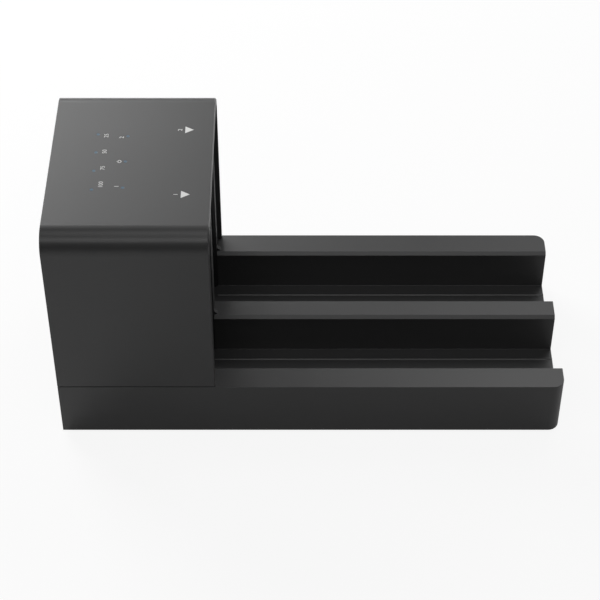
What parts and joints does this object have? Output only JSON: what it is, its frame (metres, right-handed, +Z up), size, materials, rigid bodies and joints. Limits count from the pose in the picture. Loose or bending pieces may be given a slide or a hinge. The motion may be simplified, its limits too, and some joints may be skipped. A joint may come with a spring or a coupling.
{
  "type": "hard drive docking station",
  "caption": "Black desktop hard drive docking station: a low tray with open channels guides drives on edge into sockets in an end tower with lights on top and ports behind.",
  "frame": {"origin": "middle of the outline at the level of the feet", "axes": "+X along the tray to its open end, +Y across from the near side of the picture to the far side, +Z up"},
  "size_m": [0.217, 0.0964, 0.1144],
  "materials": {
    "case_black": "fine satin moulded texture",
    "inner_black": "matt moulded",
    "foot_rubber": "matt",
    "black_screw": "black zinc",
    "steel_screw": "zinc plated",
    "board_green": "solder mask",
    "socket_black": "smooth moulded",
    "contact_gold": "gold flash",
    "tinned_pin": "tinned",
    "port_steel": "stamped, bright",
    "port_blue": "smooth moulded",
    "light_clear": "clear, faintly blue",
    "led_white": "clear resin",
    "rocker_gloss": "gloss",
    "button_black": "satin",
    "plunger_cream": "smooth",
    "chip_black": "moulded epoxy",
    "can_metal": "drawn"
  },
  "bodies": {
    "dock": {"base_tray": "case_black", "bottom_cover": "inner_black", "rubber_feet": "foot_rubber", "tray_screws": "black_screw", "tower_screws": "black_screw", "tower_shell": "case_black", "bay_frame": "inner_black", "frame_screws": "steel_screw", "rear_panel": "inner_black", "backplane_board": "board_green", "backplane_screws": "steel_screw", "source_socket": "socket_black", "target_socket": "socket_black", "source_contacts": "contact_gold", "target_contacts": "contact_gold", "main_board": "board_green", "main_board_screws": "steel_screw", "board_link": "socket_black", "light_board": "board_green", "light_board_screws": "steel_screw", "light_link": "socket_black", "indicator_leds": "led_white", "progress_light_pipes": "light_clear", "status_light_pipes": "light_clear", "usb_shell": "port_steel", "usb_insert": "port_blue", "usb_contacts": "contact_gold", "power_jack_body": "socket_black", "power_jack_pin": "tinned_pin", "power_jack_lugs": "tinned_pin", "power_switch_body": "socket_black", "power_switch_pins": "tinned_pin", "copy_switch_body": "socket_black", "copy_switch_pins": "tinned_pin", "bridge_chip": "chip_black", "memory_chip": "chip_black", "crystal": "can_metal", "inductors": "chip_black", "filter_capacitors": "can_metal"},
    "power_rocker": {"power_rocker": "rocker_gloss"},
    "copy_button": {"copy_button": "button_black", "copy_switch_plunger": "plunger_cream"}
  },
  "joints": [
    {"name": "power_rocker_hinge", "type": "hinge", "parent": "dock", "child": "power_rocker", "pos_m": [-0.1046, 0.02, 0.0219], "axis": [0, 0, 1], "range_deg": [-14, 0]},
    {"name": "copy_button_slide", "type": "slide", "parent": "dock", "child": "copy_button", "axis": [1, 0, 0], "range_m": [0, 0.0006], "stiffness_N_per_m": 2000}
  ]
}
